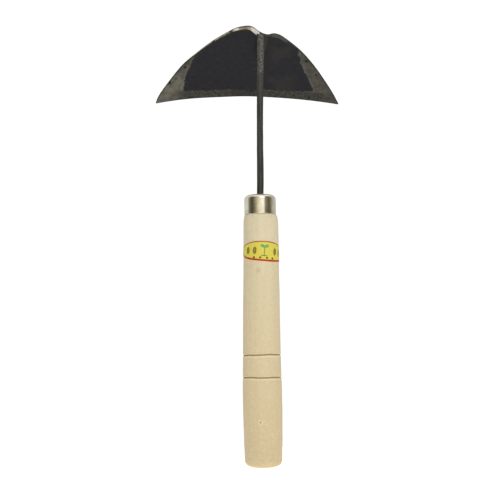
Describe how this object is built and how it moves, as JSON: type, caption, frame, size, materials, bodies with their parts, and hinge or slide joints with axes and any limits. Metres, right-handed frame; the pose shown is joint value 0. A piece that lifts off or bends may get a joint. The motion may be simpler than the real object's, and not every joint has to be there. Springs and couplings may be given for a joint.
{
  "type": "hand hoe",
  "caption": "Short-handled draw hoe: dished half-moon blade welded to a bent steel shank, its tang driven into a turned wooden handle with a metal ferrule.",
  "frame": {"origin": "centre of the flat butt of the handle", "axes": "+Z along the handle from the butt towards the blade, -Y the side the shank stands on in front of the blade's hollow face, +Y the side the blade reaches out to, +X to the right when the hollow face is seen"},
  "size_m": [0.149, 0.0761, 0.3399],
  "materials": {
    "blade_steel": "black forge scale, ground bare along the edges",
    "shank_steel": "drawn rod with dark oxide, semi-matt",
    "weld_metal": "rippled weld bead, dark",
    "ferrule_nickel": "polished nickel plate",
    "handle_wood": "pale turned hardwood, thin satin lacquer",
    "label_paper": "coated paper"
  },
  "bodies": {
    "root": {"blade": "blade_steel", "shank": "shank_steel", "neck_weld": "weld_metal", "ferrule": "ferrule_nickel", "handle": "handle_wood", "label": "label_paper"}
  },
  "joints": []
}
